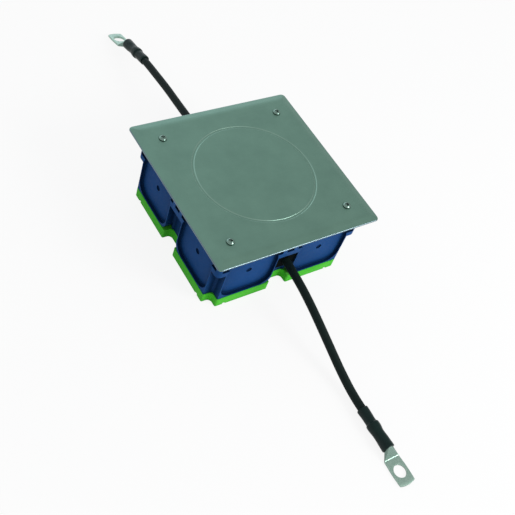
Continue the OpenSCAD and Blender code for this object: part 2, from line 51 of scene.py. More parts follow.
def cad_span(node, axis):
    """Where a CAD piece starts and ends along an axis: 0 for X, 1 for Y and 2 for Z."""
    places = [v.co[axis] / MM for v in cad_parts[node].data.vertices]
    return round(min(places), 3), round(max(places), 3)


BOX_HALF = cad_span("box_body", 0)[1]
BOX_FOOT = cad_span("box_body", 2)[0]
COVER_HALF = cad_span("cover_plate", 0)[1]
COVER_TOP = cad_span("cover_plate", 2)[1]
SCREW_AT = sum(cad_span("cover_screw_3", 0)) / 2

# The notches in the box's sides and corners are less deep than this
NOTCH_DEPTH = 11

# Knock-out panels in the box's sides: how deep they lie, between which distances from the middle of the side
# and under which height. Each one has a round dimple in its middle
PANEL_DEPTH = 3.3
PANEL_FROM = 11
PANEL_TO = 69
PANEL_BELOW = 67
DIMPLE_ALONG = 40.35
DIMPLE_HEIGHT = 40
DIMPLE_RADIUS = 2.9

# Cover sheet, and both sides of the groove of the ring that is pressed into it
COVER_THICK = 1.5
COVER_CORNER = 4.5
RING_OUTSIDE = 61.5
RING_INSIDE = 58.3

# Lugs, measured from the mouth of the barrel and from its middle line. The palm's underside is level with
# the sleeve's lowest side
SLEEVE_RADIUS = 6.3
BARREL_RADIUS = 4.5
BARREL_LENGTH = 24
NECK_LENGTH = 7.5
PALM_THICK = 2.2
PALM_HEIGHT = PALM_THICK / 2 - SLEEVE_RADIUS
TIP_RADIUS = 22
STUD_HOLE_AT = 44.4
STUD_HOLE_RADIUS = 6.25

# A point is taken as lying on a plane when it is nearer to it than this
ON_PLANE = 0.05

CORNER_SIGNS = ((-1, -1), (1, -1), (1, 1), (-1, 1))


# Camera

def place_camera():
    """Stands the camera where the photograph was taken from, high over the corner between the near sides."""
    turn, tilt, lean = (math.radians(a) for a in (-48.70, 49.475, 22.677))
    away = Vector((math.sin(turn) * math.cos(tilt), -math.cos(turn) * math.cos(tilt), math.sin(tilt)))
    level = (-away).cross(Vector((0, 0, 1))).normalized()
    above = level.cross(-away)
    side = math.cos(lean) * level + math.sin(lean) * above
    top = math.cos(lean) * above - math.sin(lean) * level
    place = Vector((-0.40389, -0.39898, 0.62964))
    lens = bpy.data.cameras.new("photo_camera")
    lens.sensor_fit = "HORIZONTAL"
    lens.sensor_width = 36
    lens.lens = 58.0117
    lens.clip_start = 0.01
    lens.clip_end = 20
    camera = bpy.data.objects.new("photo_camera", lens)
    bpy.context.collection.objects.link(camera)
    camera.matrix_world = Matrix((side, top, away)).transposed().to_4x4()
    camera.matrix_world.translation = place
    bpy.context.scene.camera = camera


place_camera()


# Materials

def srgb(code):
    """Turns an sRGB hex colour to the linear one that the shaders use."""
    steps = [int(code[i:i + 2], 16) / 255 for i in (1, 3, 5)]
    return tuple(c / 12.92 if c <= 0.04045 else ((c + 0.055) / 1.055) ** 2.4 for c in steps) + (1.0,)


def add(material, kind, sockets=None, **settings):
    """Adds a shader node. Each entry of sockets is a value, or another node's output that is linked in."""
    tree = material.node_tree
    made = tree.nodes.new("ShaderNode" + kind)
    for name, value in settings.items():
        setattr(made, name, value)
    for name, value in (sockets or {}).items():
        if isinstance(value, bpy.types.NodeSocket):
            tree.links.new(value, made.inputs[name])
        else:
            made.inputs[name].default_value = value
    return made


def fresh(name):
    """An empty node material."""
    material = bpy.data.materials.new(name)
    material.use_nodes = True
    material.node_tree.nodes.clear()
    return material


def per_mm(size):
    """Noise scale at which one blotch is about this many millimetres wide."""
    return 1 / (size * MM)


def moulded_plastic(name, colour, shade, worn, deep, reach, rough):
    """Moulded plastic: a satin skin from a spark-eroded mould. The eye sees a fine grain, faint flow clouds
    in the colour, slightly paler, rubbed edges, and painted shade in inner corners: a deeper colour,
    which reaches this many millimetres out of them."""
    m = fresh(name)
    where = add(m, "TexCoord").outputs["Object"]
    clouds = add(m, "TexNoise", {"Vector": where, "Scale": per_mm(38), "Detail": 3.0, "Roughness": 0.55})
    scuffs = add(m, "TexNoise", {"Vector": where, "Scale": per_mm(7), "Detail": 5.0, "Roughness": 0.7})
    # Real grain is about 0.1 mm; it is drawn at 0.6 mm so that it shows
    grain = add(m, "TexNoise", {"Vector": where, "Scale": per_mm(0.6), "Detail": 2.0, "Roughness": 0.6})
    drift = add(m, "MapRange", {"Value": clouds.outputs["Fac"], "From Min": 0.35, "From Max": 0.65})
    body = add(m, "Mix", {0: drift.outputs[0], 6: srgb(colour), 7: srgb(shade)}, data_type="RGBA")
    edge = add(m, "NewGeometry").outputs["Pointiness"]
    rubbed = add(m, "MapRange", {"Value": edge, "From Min": 0.52, "From Max": 0.60, "To Max": 0.5})
    broken = add(m, "Math", {0: rubbed.outputs[0], 1: scuffs.outputs["Fac"]}, operation="MULTIPLY")
    rubbed_skin = add(m, "Mix", {0: broken.outputs[0], 6: body.outputs[2], 7: srgb(worn)}, data_type="RGBA")
    # Painted shade: the colour deepens towards inner corners, as far as the occlusion reaches
    painted_corner_shade = add(m, "AmbientOcclusion", {"Distance": reach * MM}, samples=6)
    open_share = add(m, "MapRange", {"Value": painted_corner_shade.outputs["AO"], "From Min": 0.66, "From Max": 0.98})
    skin = add(m, "Mix", {0: open_share.outputs[0], 6: srgb(deep), 7: rubbed_skin.outputs[2]},
               data_type="RGBA")
    gloss = add(m, "MapRange", {"Value": scuffs.outputs["Fac"], "From Min": 0.3, "From Max": 0.7,
                                "To Min": rough - 0.06, "To Max": rough + 0.08})
    relief = add(m, "Bump", {"Height": grain.outputs["Fac"], "Strength": 0.12, "Distance": 0.05 * MM})
    surface = add(m, "BsdfPrincipled", {"Base Color": skin.outputs[2], "Roughness": gloss.outputs[0],
                                        "Normal": relief.outputs[0], "IOR": 1.49,
                                        "Specular IOR Level": 0.03})
    add(m, "OutputMaterial", {"Surface": surface.outputs[0]})
    return m


def rolled_stainless(name, colour, shade, rough):
    """Stainless sheet with a cold-rolled mill finish: a soft grey sheen, with long faint rolling streaks
    along X, cloudy handling marks, and painted shade: a dark line round what is screwed down on it."""
    m = fresh(name)
    where = add(m, "TexCoord").outputs["Object"]
    stretch = add(m, "Mapping", {"Vector": where, "Scale": (0.04, 1.0, 1.0)})
    # Rolling streaks are about 0.05 mm wide; they are drawn at 0.7 mm so that they show
    streaks = add(m, "TexNoise", {"Vector": stretch.outputs[0], "Scale": per_mm(0.7), "Detail": 3.0})
    clouds = add(m, "TexNoise", {"Vector": where, "Scale": per_mm(24), "Detail": 4.0, "Roughness": 0.6})
    drift = add(m, "MapRange", {"Value": clouds.outputs["Fac"], "From Min": 0.3, "From Max": 0.7})
    body = add(m, "Mix", {0: drift.outputs[0], 6: srgb(colour), 7: srgb(shade)}, data_type="RGBA")
    # Painted shade close to what is seated on the sheet, standing in for its contact shadow
    painted_corner_shade = add(m, "AmbientOcclusion", {"Distance": 2.2 * MM}, samples=8)
    open_share = add(m, "MapRange", {"Value": painted_corner_shade.outputs["AO"], "From Min": 0.3, "From Max": 0.86})
    skin = add(m, "Mix", {0: open_share.outputs[0], 6: srgb("#1d2b26"), 7: body.outputs[2]},
               data_type="RGBA")
    gloss = add(m, "MapRange", {"Value": streaks.outputs["Fac"], "From Min": 0.3, "From Max": 0.7,
                                "To Min": rough - 0.05, "To Max": rough + 0.05})
    relief = add(m, "Bump", {"Height": streaks.outputs["Fac"], "Strength": 0.05, "Distance": 0.02 * MM})
    surface = add(m, "BsdfPrincipled", {"Base Color": skin.outputs[2], "Metallic": 1.0,
                                        "Roughness": gloss.outputs[0], "Normal": relief.outputs[0]})
    add(m, "OutputMaterial", {"Surface": surface.outputs[0]})
    return m


def bare_metal(name, colour, shade, rough, speck):
    """Small turned, pressed or plated metal pieces: an even sheen, broken by a fine fleck of this many
    millimetres from plating or tumbling, and painted shade in slots and where the piece is seated."""
    m = fresh(name)
    where = add(m, "TexCoord").outputs["Object"]
    flecks = add(m, "TexNoise", {"Vector": where, "Scale": per_mm(speck), "Detail": 4.0, "Roughness": 0.7})
    drift = add(m, "MapRange", {"Value": flecks.outputs["Fac"], "From Min": 0.35, "From Max": 0.65})
    body = add(m, "Mix", {0: drift.outputs[0], 6: srgb(colour), 7: srgb(shade)}, data_type="RGBA")
    # Painted shade in the cross recesses and round the pieces' feet
    painted_corner_shade = add(m, "AmbientOcclusion", {"Distance": 1.6 * MM}, samples=8)
    open_share = add(m, "MapRange", {"Value": painted_corner_shade.outputs["AO"], "From Min": 0.35, "From Max": 0.85})
    skin = add(m, "Mix", {0: open_share.outputs[0], 6: srgb("#16211d"), 7: body.outputs[2]},
               data_type="RGBA")
    gloss = add(m, "MapRange", {"Value": flecks.outputs["Fac"], "From Min": 0.3, "From Max": 0.7,
                                "To Min": rough - 0.06, "To Max": rough + 0.06})
    relief = add(m, "Bump", {"Height": flecks.outputs["Fac"], "Strength": 0.06, "Distance": 0.03 * MM})
    surface = add(m, "BsdfPrincipled", {"Base Color": skin.outputs[2], "Metallic": 1.0,
                                        "Roughness": gloss.outputs[0], "Normal": relief.outputs[0]})
    add(m, "OutputMaterial", {"Surface": surface.outputs[0]})
    return m


def black_skin(name, colour, shade, rough, ripple, sheen):
    """Extruded PVC sheath, shrunk polyolefin or moulded rubber: near black, with a soft sheen that faint
    ripples of this many millimetres and dust break up."""
    m = fresh(name)
    where = add(m, "TexCoord").outputs["Object"]
    dust = add(m, "TexNoise", {"Vector": where, "Scale": per_mm(5), "Detail": 5.0, "Roughness": 0.7})
    waves = add(m, "TexNoise", {"Vector": where, "Scale": per_mm(ripple), "Detail": 2.0})
    drift = add(m, "MapRange", {"Value": dust.outputs["Fac"], "From Min": 0.35, "From Max": 0.7})
    body = add(m, "Mix", {0: drift.outputs[0], 6: srgb(colour), 7: srgb(shade)}, data_type="RGBA")
    gloss = add(m, "MapRange", {"Value": dust.outputs["Fac"], "From Min": 0.3, "From Max": 0.7,
                                "To Min": rough - 0.06, "To Max": rough + 0.08})
    relief = add(m, "Bump", {"Height": waves.outputs["Fac"], "Strength": 0.2, "Distance": 0.1 * MM})
    surface = add(m, "BsdfPrincipled", {"Base Color": body.outputs[2], "Roughness": gloss.outputs[0],
                                        "Normal": relief.outputs[0], "IOR": 1.5,
                                        "Specular IOR Level": sheen})
    add(m, "OutputMaterial", {"Surface": surface.outputs[0]})
    return m


# The base, the box and the block inside it are satin, with painted shade in their inner corners. The dimples
# in the box's panels are matt, and painted darker as shade
# Their fifth colour is the painted shade in inner corners, and the number after it is how far that reaches
# in millimetres
base_plastic = moulded_plastic("green_polypropylene", "#4fca33", "#49c22e", "#7edc66", "#47bc2e", 3, 0.48)
box_plastic = moulded_plastic("blue_polypropylene", "#1a4b88", "#18467f", "#3f6da6", "#0b2648", 16, 0.42)
dimple_shade_plastic = moulded_plastic("blue_polypropylene_matt_pip_painted_shade", "#0c2a58", "#0b2650", "#16396c", "#0b2648",
                                 16, 0.6)
block_resin = moulded_plastic("moulded_resin_block", "#8f2f22", "#86291d", "#b15343", "#3a100a", 6, 0.5)

# The sheet's sheen is soft, and its sheared edge shines more. The sides of the ring's groove are smoother,
# and painted lighter as highlight
cover_steel = rolled_stainless("rolled_stainless_sheet", "#779b8c", "#709385", 0.4)
sheared_edge = rolled_stainless("sheared_stainless_edge", "#72868b", "#6d8086", 0.27)
ring_painted_highlight_steel = rolled_stainless("stainless_ring_painted_highlight", "#8cad9f", "#85a698", 0.36)

# The turned cover screws shine most. The tin is pale. Where the lug's neck was pressed flat it is rougher,
# and painted darker as shade
screw_steel = bare_metal("turned_stainless", "#86a398", "#778f86", 0.24, 0.8)
tinned_copper = bare_metal("tinned_copper", "#b4cdc1", "#8aaa9c", 0.34, 0.9)
shaded_pressed_tin = bare_metal("tinned_copper_pressed_dull_painted_shade", "#869d94", "#748b81", 0.5, 0.9)
zinc_steel = bare_metal("zinc_plated_steel", "#b9bdbb", "#a6abaa", 0.32, 0.9)
turned_brass = bare_metal("turned_brass", "#b8974c", "#a98a43", 0.3, 0.8)
bare_copper = bare_metal("bare_copper_bar", "#b8754f", "#a5653f", 0.35, 1.2)

# The sheath is satin, the shrunk tube is smoother and shinier, and the rubber hardly shines
sheath_pvc = black_skin("black_pvc_sheath", "#0d1b19", "#142321", 0.5, 6, 0.12)
shrunk_tube = black_skin("shrunk_polyolefin", "#081f1d", "#0e2624", 0.28, 4, 0.19)
moulded_rubber = black_skin("moulded_rubber", "#04090a", "#070d0e", 0.6, 2, 0.01)


# Working meshes and pieces

def join_rings(bm, rings):
    """Joins each ring of vertices to the next one with quads."""
    for a, b in zip(rings, rings[1:]):
        for k in range(len(a)):
            j = (k + 1) % len(a)
            bm.faces.new((a[k], a[j], b[j], b[k]))


def skin_rings(bm, rings, closed=False):
    """Joins rings of vertices, and closes both ends unless the last ring meets the first."""
    join_rings(bm, rings + rings[:1] if closed else rings)
    if not closed:
        bm.faces.new(list(reversed(rings[0])))
        bm.faces.new(rings[-1])


def anywhere(p):
    """All of a piece's edges."""
    return True


def round_edges(bm, radius, steps, least, place=anywhere):
    """Rounds the edges whose faces meet at this angle or more, where their middle is in this place. The
    radius and the middle are in millimetres."""
    chosen = [e for e in bm.edges
              if len(e.link_faces) == 2 and math.degrees(e.calc_face_angle(0)) >= least
              and place((e.verts[0].co + e.verts[1].co) / (2 * MM))]
    bmesh.ops.bevel(bm, geom=chosen, offset=radius * MM, offset_type="OFFSET", segments=steps,
                    profile=0.5, affect="EDGES", clamp_overlap=True)


def drilled(bm, tool):
    """Cuts one working mesh out of another and gives back what is left."""
    made = []
    for part in (bm, tool):
        bmesh.ops.recalc_face_normals(part, faces=part.faces)
        mesh = bpy.data.meshes.new("workpiece")
        part.to_mesh(mesh)
        part.free()
        made.append(bpy.data.objects.new("workpiece", mesh))
        bpy.context.collection.objects.link(made[-1])
    cut = made[0].modifiers.new("cut", "BOOLEAN")
    cut.object = made[1]
    cut.operation = "DIFFERENCE"
    left = bpy.data.meshes.new_from_object(made[0].evaluated_get(bpy.context.evaluated_depsgraph_get()))
    for thing in made:
        bpy.data.objects.remove(thing)
    result = bmesh.new()
    result.from_mesh(left)
    return result


def as_mesh(name, bm, sharp):
    """Turns the working mesh into a smooth-shaded one that keeps the edges over this angle sharp."""
    bmesh.ops.recalc_face_normals(bm, faces=bm.faces)
    mesh = bpy.data.meshes.new(name)
    bm.to_mesh(mesh)
    bm.free()
    mesh.polygons.foreach_set("use_smooth", [True] * len(mesh.polygons))
    mesh.set_sharp_from_angle(angle=math.radians(sharp))
    return mesh


def new_piece(name, mesh, material):
    """Puts a finished mesh into the scene as one of the object's pieces."""
    piece = bpy.data.objects.new(name, mesh)
    bpy.context.collection.objects.link(piece)
    mesh.materials.clear()
    mesh.materials.append(material)
    return piece


def stand_in(piece, node):
    """Lets a piece take the place of its CAD piece, and ride on the object's only body."""
    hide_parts(node)
    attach(piece, "root")


def keep_flat(piece):
    """Lets a piece's large flat faces shade flat, right up to the small roundings beside them."""
    weigh = piece.modifiers.new("flat faces stay flat", "WEIGHTED_NORMAL")
    weigh.keep_sharp = True


# Cables: points chosen along each one, all in metres

FRONT_ROUTE = [
    (0, -0.078, 0.039), (0, -0.085, 0.0386), (0, -0.093, 0.0378), (0, -0.102, 0.0368),
    (0, -0.112, 0.0352), (0, -0.122, 0.033), (0, -0.132, 0.0304), (0, -0.143, 0.0271),
    (0, -0.154, 0.0236), (0, -0.165, 0.02), (0, -0.176, 0.0164), (0, -0.187, 0.0129),
    (0, -0.198, 0.01), (0, -0.209, 0.0077), (0, -0.219, 0.0066), (0, -0.229, 0.0063),
    (0, -0.238, 0.0063), (0, -0.247, 0.0063),
]
BACK_ROUTE = [
    (0, 0.078, 0.039), (0, 0.086, 0.039), (0.0001, 0.095, 0.0388), (0.0003, 0.105, 0.0384),
    (0.0007, 0.115, 0.0377), (0.0012, 0.125, 0.0367), (0.0017, 0.135, 0.0355), (0.0023, 0.145, 0.0342),
    (0.0028, 0.155, 0.0331), (0.0033, 0.165, 0.0321), (0.0037, 0.175, 0.031), (0.0041, 0.186, 0.0296),
    (0.0044, 0.197, 0.0281), (0.0048, 0.208, 0.0265), (0.0052, 0.219, 0.0248), (0.0054, 0.229, 0.023),
    (0.0055, 0.238, 0.0212), (0.0056, 0.247, 0.0192),
]
CABLE_RADIUS = 4.1 * MM

# How the back lug hangs, in degrees: swung to the side, tipped down and rolled
BACK_TURN = (0.6, -12.5, 4.5)


def smooth_route(points, steps):
    """Adds points between the given ones, on one smooth curve through them all."""
    p = [Vector(v) for v in points]
    p = [2 * p[0] - p[1]] + p + [2 * p[-1] - p[-2]]
    route = []
    for i in range(1, len(p) - 2):
        for k in range(steps):
            t = k / steps
            route.append(0.5 * (2 * p[i] + (p[i + 1] - p[i - 1]) * t
                                + (2 * p[i - 1] - 5 * p[i] + 4 * p[i + 1] - p[i + 2]) * t * t
                                + (3 * p[i] - p[i - 1] - 3 * p[i + 1] + p[i + 2]) * t ** 3))
    return route + [p[-2]]


def cable(name, points, node):
    """One earth cable: a round sheath along its route."""
    sides, steps_between = 28, 4
    route = smooth_route(points, steps_between)
    bm = bmesh.new()
    rings = []
    for i, p in enumerate(route):
        way = (route[min(i + 1, len(route) - 1)] - route[max(i - 1, 0)]).normalized()
        across = way.cross(Vector((0, 0, 1))).normalized()
        over = across.cross(way)
        ring = []
        for k in range(sides):
            a = 2 * math.pi * k / sides
            ring.append(bm.verts.new(p + CABLE_RADIUS * (math.cos(a) * across + math.sin(a) * over)))
        rings.append(ring)
    skin_rings(bm, rings)
    piece = new_piece(name, as_mesh(name, bm, 35), sheath_pvc)
    stand_in(piece, node)


# Lugs and their sleeves

# Steps round each corner of a lug's section, and along its top and its underside
LUG_CORNER_STEPS = 8
LUG_FLAT_STEPS = 16

# Palm of a lug from its fold to its tip: the place along it and its half width there in millimetres, and
# how much of the tip's round form the section has
PALM_SECTIONS = (
    (34, 8.06, 0), (37, 8.2, 0), (40, 8.36, 0.1), (STUD_HOLE_AT, 8.5, 0.35), (49, 8.44, 0.7),
    (54, 8.25, 0.95), (57.6, 8.05, 1),
)

# A sleeve's skin from its cable end to its palm end, and its bore back again: the place along it and its
# radius there in millimetres. It steps up over the mouth of the lug's barrel, at 0
SLEEVE_SKIN = [
    (-18.0, 5.0), (-17.85, 5.28), (-17.3, 5.4), (-14.5, 5.34), (-10.0, 5.22), (-6.0, 5.16), (-4.0, 5.18),
    (-3.2, 5.26), (-2.7, 5.48), (-2.3, 5.85), (-1.9, 6.12), (-1.3, 6.27), (-0.4, 6.3), (1.6, 6.3),
    (3.0, 6.2), (4.4, 5.98), (6.0, 5.68), (7.6, 5.52), (9.5, 5.48), (12.0, 5.56), (14.5, 5.74),
    (16.5, 5.86), (19.0, 5.96), (22.0, 6.08), (23.4, 6.08), (23.85, 5.98), (24.0, 5.7),
]
SLEEVE_BORE = [(24.0, 4.65), (12.0, 4.62), (0.0, 4.62), (-1.0, 4.3), (-9.0, 4.2), (-18.0, 4.2)]


def front_end():
    """Place and direction of the front cable's end, where its lug starts."""
    return Matrix.Translation(FRONT_ROUTE[-1]) @ Matrix.Rotation(math.pi, 4, "Z")


def back_end():
    """Place and direction of the back cable's end, where its lug starts."""
    yaw, pitch, roll = (math.radians(a) for a in BACK_TURN)
    return (Matrix.Translation(BACK_ROUTE[-1]) @ Matrix.Rotation(yaw, 4, "Z")
            @ Matrix.Rotation(pitch, 4, "X") @ Matrix.Rotation(roll, 4, "Y"))


def sleeve_wave(y, a, turn):
    """How far a sleeve's skin stands out at this place along it and at this angle round it: slow waves
    follow the lug's crimps, lower over the mouth of the barrel. Its two ends are round."""
    if abs(y) > 17.5:
        return 0.0
    wave = 0.09 * math.sin(2 * a + 0.21 * y + turn) + 0.06 * math.sin(3 * a - 0.5 * y + 2 * turn)
    return 0.6 * wave if -2 < y < 3 else wave


def shrink_sleeve(name, node, place, turn):
    """Shrunk tube over the lug's barrel and the cable's end. Turn sets its waves apart from the other's."""
    sides = 48
    bm = bmesh.new()
    rings = []
    for profile, height in ((SLEEVE_SKIN, 1), (SLEEVE_BORE, 0)):
        for y, r in profile:
            ring = []
            for k in range(sides):
                a = 2 * math.pi * k / sides
                reach = min(r + height * sleeve_wave(y, a, turn), SLEEVE_RADIUS) * MM
                ring.append(bm.verts.new(place @ Vector((reach * math.cos(a), y * MM, reach * math.sin(a)))))
            rings.append(ring)
    skin_rings(bm, rings, closed=True)
    piece = new_piece(name, as_mesh(name, bm, 50), shrunk_tube)
    stand_in(piece, node)


def eased(t, soft):
    """Runs from 0 to 1 with both ends rounded off over a short way."""
    low = max(0.0, t + soft) ** 2 / (4 * soft) if t < soft else t
    return 1 - max(0.0, 1 - low + soft) ** 2 / (4 * soft) if 1 - low < soft else low


def lug_ring(bm, place, y, share, half, bow):
    """One section of a lug. At share 0 it is the round barrel, at share 1 the flat palm. It has as many
    points on its top as on its underside. Bow sets it back towards its sides, as at the round tip."""
    edge = 0.28
    round_r = (1 - share) * BARREL_RADIUS + share * edge
    mid_x = share * (half - edge)
    mid_z = share * (PALM_THICK / 2 - edge)
    middle = share * PALM_HEIGHT
    outline = []
    for first, sx, sz in ((0, 1, 1), (90, -1, 1), (180, -1, -1), (270, 1, -1)):
        for k in range(LUG_CORNER_STEPS + 1):
            a = math.radians(first + 90 * k / LUG_CORNER_STEPS)
            outline.append((sx * mid_x + round_r * math.cos(a), middle + sz * mid_z + round_r * math.sin(a)))
        if first in (0, 180):
            level = middle + sz * (mid_z + round_r)
            outline += [(sx * mid_x * (1 - 2 * k / LUG_FLAT_STEPS), level) for k in range(1, LUG_FLAT_STEPS)]
    ring = []
    for x, z in outline:
        back = bow * (TIP_RADIUS - math.sqrt(TIP_RADIUS ** 2 - x * x))
        ring.append(bm.verts.new(place @ Vector((x * MM, (y - back) * MM, z * MM))))
    return ring


def close_tip(bm, tip):
    """Closes the lug's tip with quads from its top to its underside, and with one face at each side."""
    half = len(tip) // 2
    first, last = LUG_CORNER_STEPS, LUG_CORNER_STEPS + LUG_FLAT_STEPS
    top = tip[first:last + 1]
    under = tip[half + first:half + last + 1]
    under.reverse()
    for k in range(LUG_FLAT_STEPS):
        bm.faces.new((top[k], top[k + 1], under[k + 1], under[k]))
    bm.faces.new(tip[last:half + first + 1])
    bm.faces.new(tip[half + last:] + tip[:first + 1])


def pressed_lug(name, node, place):
    """Tinned tube lug: a round barrel, flattened over a short neck into a palm with a stud hole. The neck
    meets the palm in a soft fold, and the palm's edges are rounded by tumbling."""
    nearly_round, fold, neck_steps, neck_half = 0.02, 0.055, 40, 8
    neck_shade_from, neck_shade_to = BARREL_LENGTH - 0.8, BARREL_LENGTH + NECK_LENGTH - 0.4
    bm = bmesh.new()
    rings = [lug_ring(bm, place, y, nearly_round, neck_half, 0) for y in (0, BARREL_LENGTH - 1)]
    for k in range(neck_steps + 1):
        y = BARREL_LENGTH - 0.5 + (NECK_LENGTH + 1.1) * k / neck_steps
        share = eased((y - BARREL_LENGTH) / NECK_LENGTH, fold)
        rings.append(lug_ring(bm, place, y, max(nearly_round, min(1.0, share)), neck_half, 0))
    rings += [lug_ring(bm, place, y, 1, half, bow) for y, half, bow in PALM_SECTIONS]
    join_rings(bm, rings)
    bm.faces.new(list(reversed(rings[0])))
    close_tip(bm, rings[-1])
    drill = bmesh.new()
    bmesh.ops.create_cone(drill, cap_ends=True, segments=72, radius1=STUD_HOLE_RADIUS * MM,
                          radius2=STUD_HOLE_RADIUS * MM, depth=10 * MM,
                          matrix=place @ Matrix.Translation((0, STUD_HOLE_AT * MM, PALM_HEIGHT * MM)))
    bm = drilled(bm, drill)
    round_edges(bm, 0.2, 2, 50)
    piece = new_piece(name, as_mesh(name, bm, 40), tinned_copper)
    # The neck is rougher, and its darker colour is painted shade
    piece.data.materials.append(shaded_pressed_tin)
    home = place.inverted()
    for face in piece.data.polygons:
        face.material_index = int(neck_shade_from < (home @ face.center).y / MM < neck_shade_to)
    stand_in(piece, node)


pressed_lug("tinned_lug_front", "lug_front", front_end())
pressed_lug("tinned_lug_back", "lug_back", back_end())
shrink_sleeve("shrunk_sleeve_front", "sleeve_front", front_end(), 0.4)
shrink_sleeve("shrunk_sleeve_back", "sleeve_back", back_end(), 2.1)
cable("sheath_front", FRONT_ROUTE, "cable_front")
cable("sheath_back", BACK_ROUTE, "cable_back")


# Moulded pieces with soft edges

def softened(name, node, material, roundings):
    """Copies a CAD piece, joins its split faces and rounds its edges as its mould leaves them. Each rounding
    gives its radius in millimetres, its steps, the least angle that it rounds and where."""
    same_place, same_plane = 0.002 * MM, math.radians(0.6)
    bm = bmesh.new()
    bm.from_mesh(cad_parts[node].data)
    bmesh.ops.remove_doubles(bm, verts=bm.verts, dist=same_place)
    bmesh.ops.dissolve_limit(bm, angle_limit=same_plane, verts=bm.verts, edges=bm.edges)
    for radius, steps, least, place in roundings:
        round_edges(bm, radius, steps, least, place)
    piece = new_piece(name, as_mesh(name, bm, 30), material)
    keep_flat(piece)
    stand_in(piece, node)
    return piece


def on_side(p):
    """How deep a point lies under the box's nearest side, how far it is from the middle of that side,
    and its height. In millimetres."""
    return BOX_HALF - max(abs(p.x), abs(p.y)), min(abs(p.x), abs(p.y)), p.z


def near_dimple(p):
    """The middle of a knock-out panel, as far as 1 mm round its dimple."""
    along, height = on_side(p)[1:]
    return math.hypot(along - DIMPLE_ALONG, height - DIMPLE_HEIGHT) < DIMPLE_RADIUS + 1


def panel_floor(p):
    """Outline of the floor of the knock-out panels' recesses, without their dimples."""
    depth, along, height = on_side(p)
    on_panel = PANEL_FROM < along < PANEL_TO and height < PANEL_BELOW
    return abs(depth - PANEL_DEPTH) < ON_PLANE and on_panel and not near_dimple(p)


def dimple_rim(p):
    """Edges of the round dimples in the middle of the knock-out panels."""
    return on_side(p)[0] > PANEL_DEPTH - ON_PLANE and near_dimple(p)


def body_foot(p):
    """Lower outer edge of the box, where it stands on the base."""
    return abs(p.z - BOX_FOOT) < ON_PLANE and on_side(p)[0] < NOTCH_DEPTH


def matt_shaded_dimples(box):
    """Makes the wall and the floor of each dimple matt, and paints them darker as shade. They lie between
    these depths under the panel.
    """
    matt_from, matt_to = 0.06, 1.7
    box.data.materials.append(dimple_shade_plastic)
    for face in box.data.polygons:
        p = face.center / MM
        under_panel = on_side(p)[0] - PANEL_DEPTH
        face.material_index = int(matt_from < under_panel < matt_to and near_dimple(p))


softened("base_moulding", "base_plate", base_plastic, [(0.45, 2, 30, anywhere)])
matt_shaded_dimples(softened("box_moulding", "box_body", box_plastic,
                      [(3.0, 6, 30, panel_floor), (1.0, 4, 30, body_foot),
                       (0.25, 2, 40, dimple_rim), (0.3, 2, 40, anywhere)]))


# Cover sheet and its screws

# Places of the loops over the cover's rolled edge: how far each one lies inside the edge
RIM_LOOPS = (1, 2, 3.2, 4.4, 5.4, 6.2, 7, 7.8, 8.6, 9.4, 10.2)
# How deep the side of the ring's groove lies under the cover's top, at every step from the flat to its floor
GROOVE_STEP = 0.2
GROOVE_SIDE = (0, 0.03, 0.12, 0.3, 0.44, 0.49, 0.5)
# How far each cover screw was turned when it was driven home, in degrees
SCREW_TURNS = (55, 64, 58, 61)


def square_loop(half, r):
    """Points of a square with round corners: 32 steps along each side and 8 round each corner."""
    side_steps, corner_steps = 32, 8
    loop = []
    for turn in range(4):
        c, d = math.cos(turn * math.pi / 2), math.sin(turn * math.pi / 2)
        side = [(half, (half - r) * (2 * k / side_steps - 1)) for k in range(side_steps)]
        for k in range(corner_steps):
            a = math.pi / 2 * k / corner_steps
            side.append((half - r + r * math.cos(a), half - r + r * math.sin(a)))
        loop += [(c * x - d * y, d * x + c * y) for x, y in side]
    return loop


def circle_loop(r):
    """Points of a circle that lie in the same directions as those of the cover's edge."""
    edge = square_loop(COVER_HALF, COVER_CORNER)
    return [(r * x / math.hypot(x, y), r * y / math.hypot(x, y)) for x, y in edge]


def rim_fall(d):
    """How far the cover's skin lies below its flat top at a distance from its edge: a soft bend, and from
    there an even slope that rolls the edge 2 mm down."""
    slope, bend_from, bend_to = 0.25, 5.4, 10.6
    bend = bend_to - bend_from
    if d > bend_to:
        return 0.0
    if d > bend_from:
        return slope * (bend_to - d) ** 2 / (2 * bend)
    return slope * (bend_from - d) + slope * bend / 2


def rim_loop(d, under):
    """One loop of the rolled edge: how far inside the edge, and how far under the cover's top face."""
    return square_loop(COVER_HALF - d, max(COVER_CORNER - d, 0.6)), COVER_TOP - under - rim_fall(d)


def cover_loops():
    """Loops of the cover's skin and their heights, from the middle of its underside, round its rounded edge
    and back to the middle of its top."""
    edge_steps, inner = 12, (30, 8)
    edge = []
    for k in range(edge_steps + 1):
        a = math.pi * k / edge_steps
        d = COVER_THICK / 2 * (1 - math.sin(a))
        height = COVER_TOP - rim_fall(d) - COVER_THICK / 2 * (1 - math.cos(a))
        edge.append((square_loop(COVER_HALF - d, COVER_CORNER - d), height))
    side = [(GROOVE_STEP * k, deep) for k, deep in enumerate(GROOVE_SIDE)]
    # Two flat circles on each side of the groove keep the sheet beside it flat
    circles = [(64, 0), (62, 0)] + [(RING_OUTSIDE - way, deep) for way, deep in side]
    circles += [(RING_INSIDE + way, deep) for way, deep in reversed(side)] + [(57.8, 0), (56, 0)]
    circles += [(r, 0) for r in inner]
    top_side = [rim_loop(d, 0) for d in RIM_LOOPS + (10.8, 11.6, 13)]
    top_side += [(circle_loop(r), COVER_TOP - deep) for r, deep in circles]
    under_side = [rim_loop(d, COVER_THICK) for d in RIM_LOOPS + (11,)]
    under_side += [(circle_loop(r), COVER_TOP - COVER_THICK) for r in (RING_OUTSIDE, RING_INSIDE) + inner]
    return under_side[::-1] + edge[::-1] + top_side


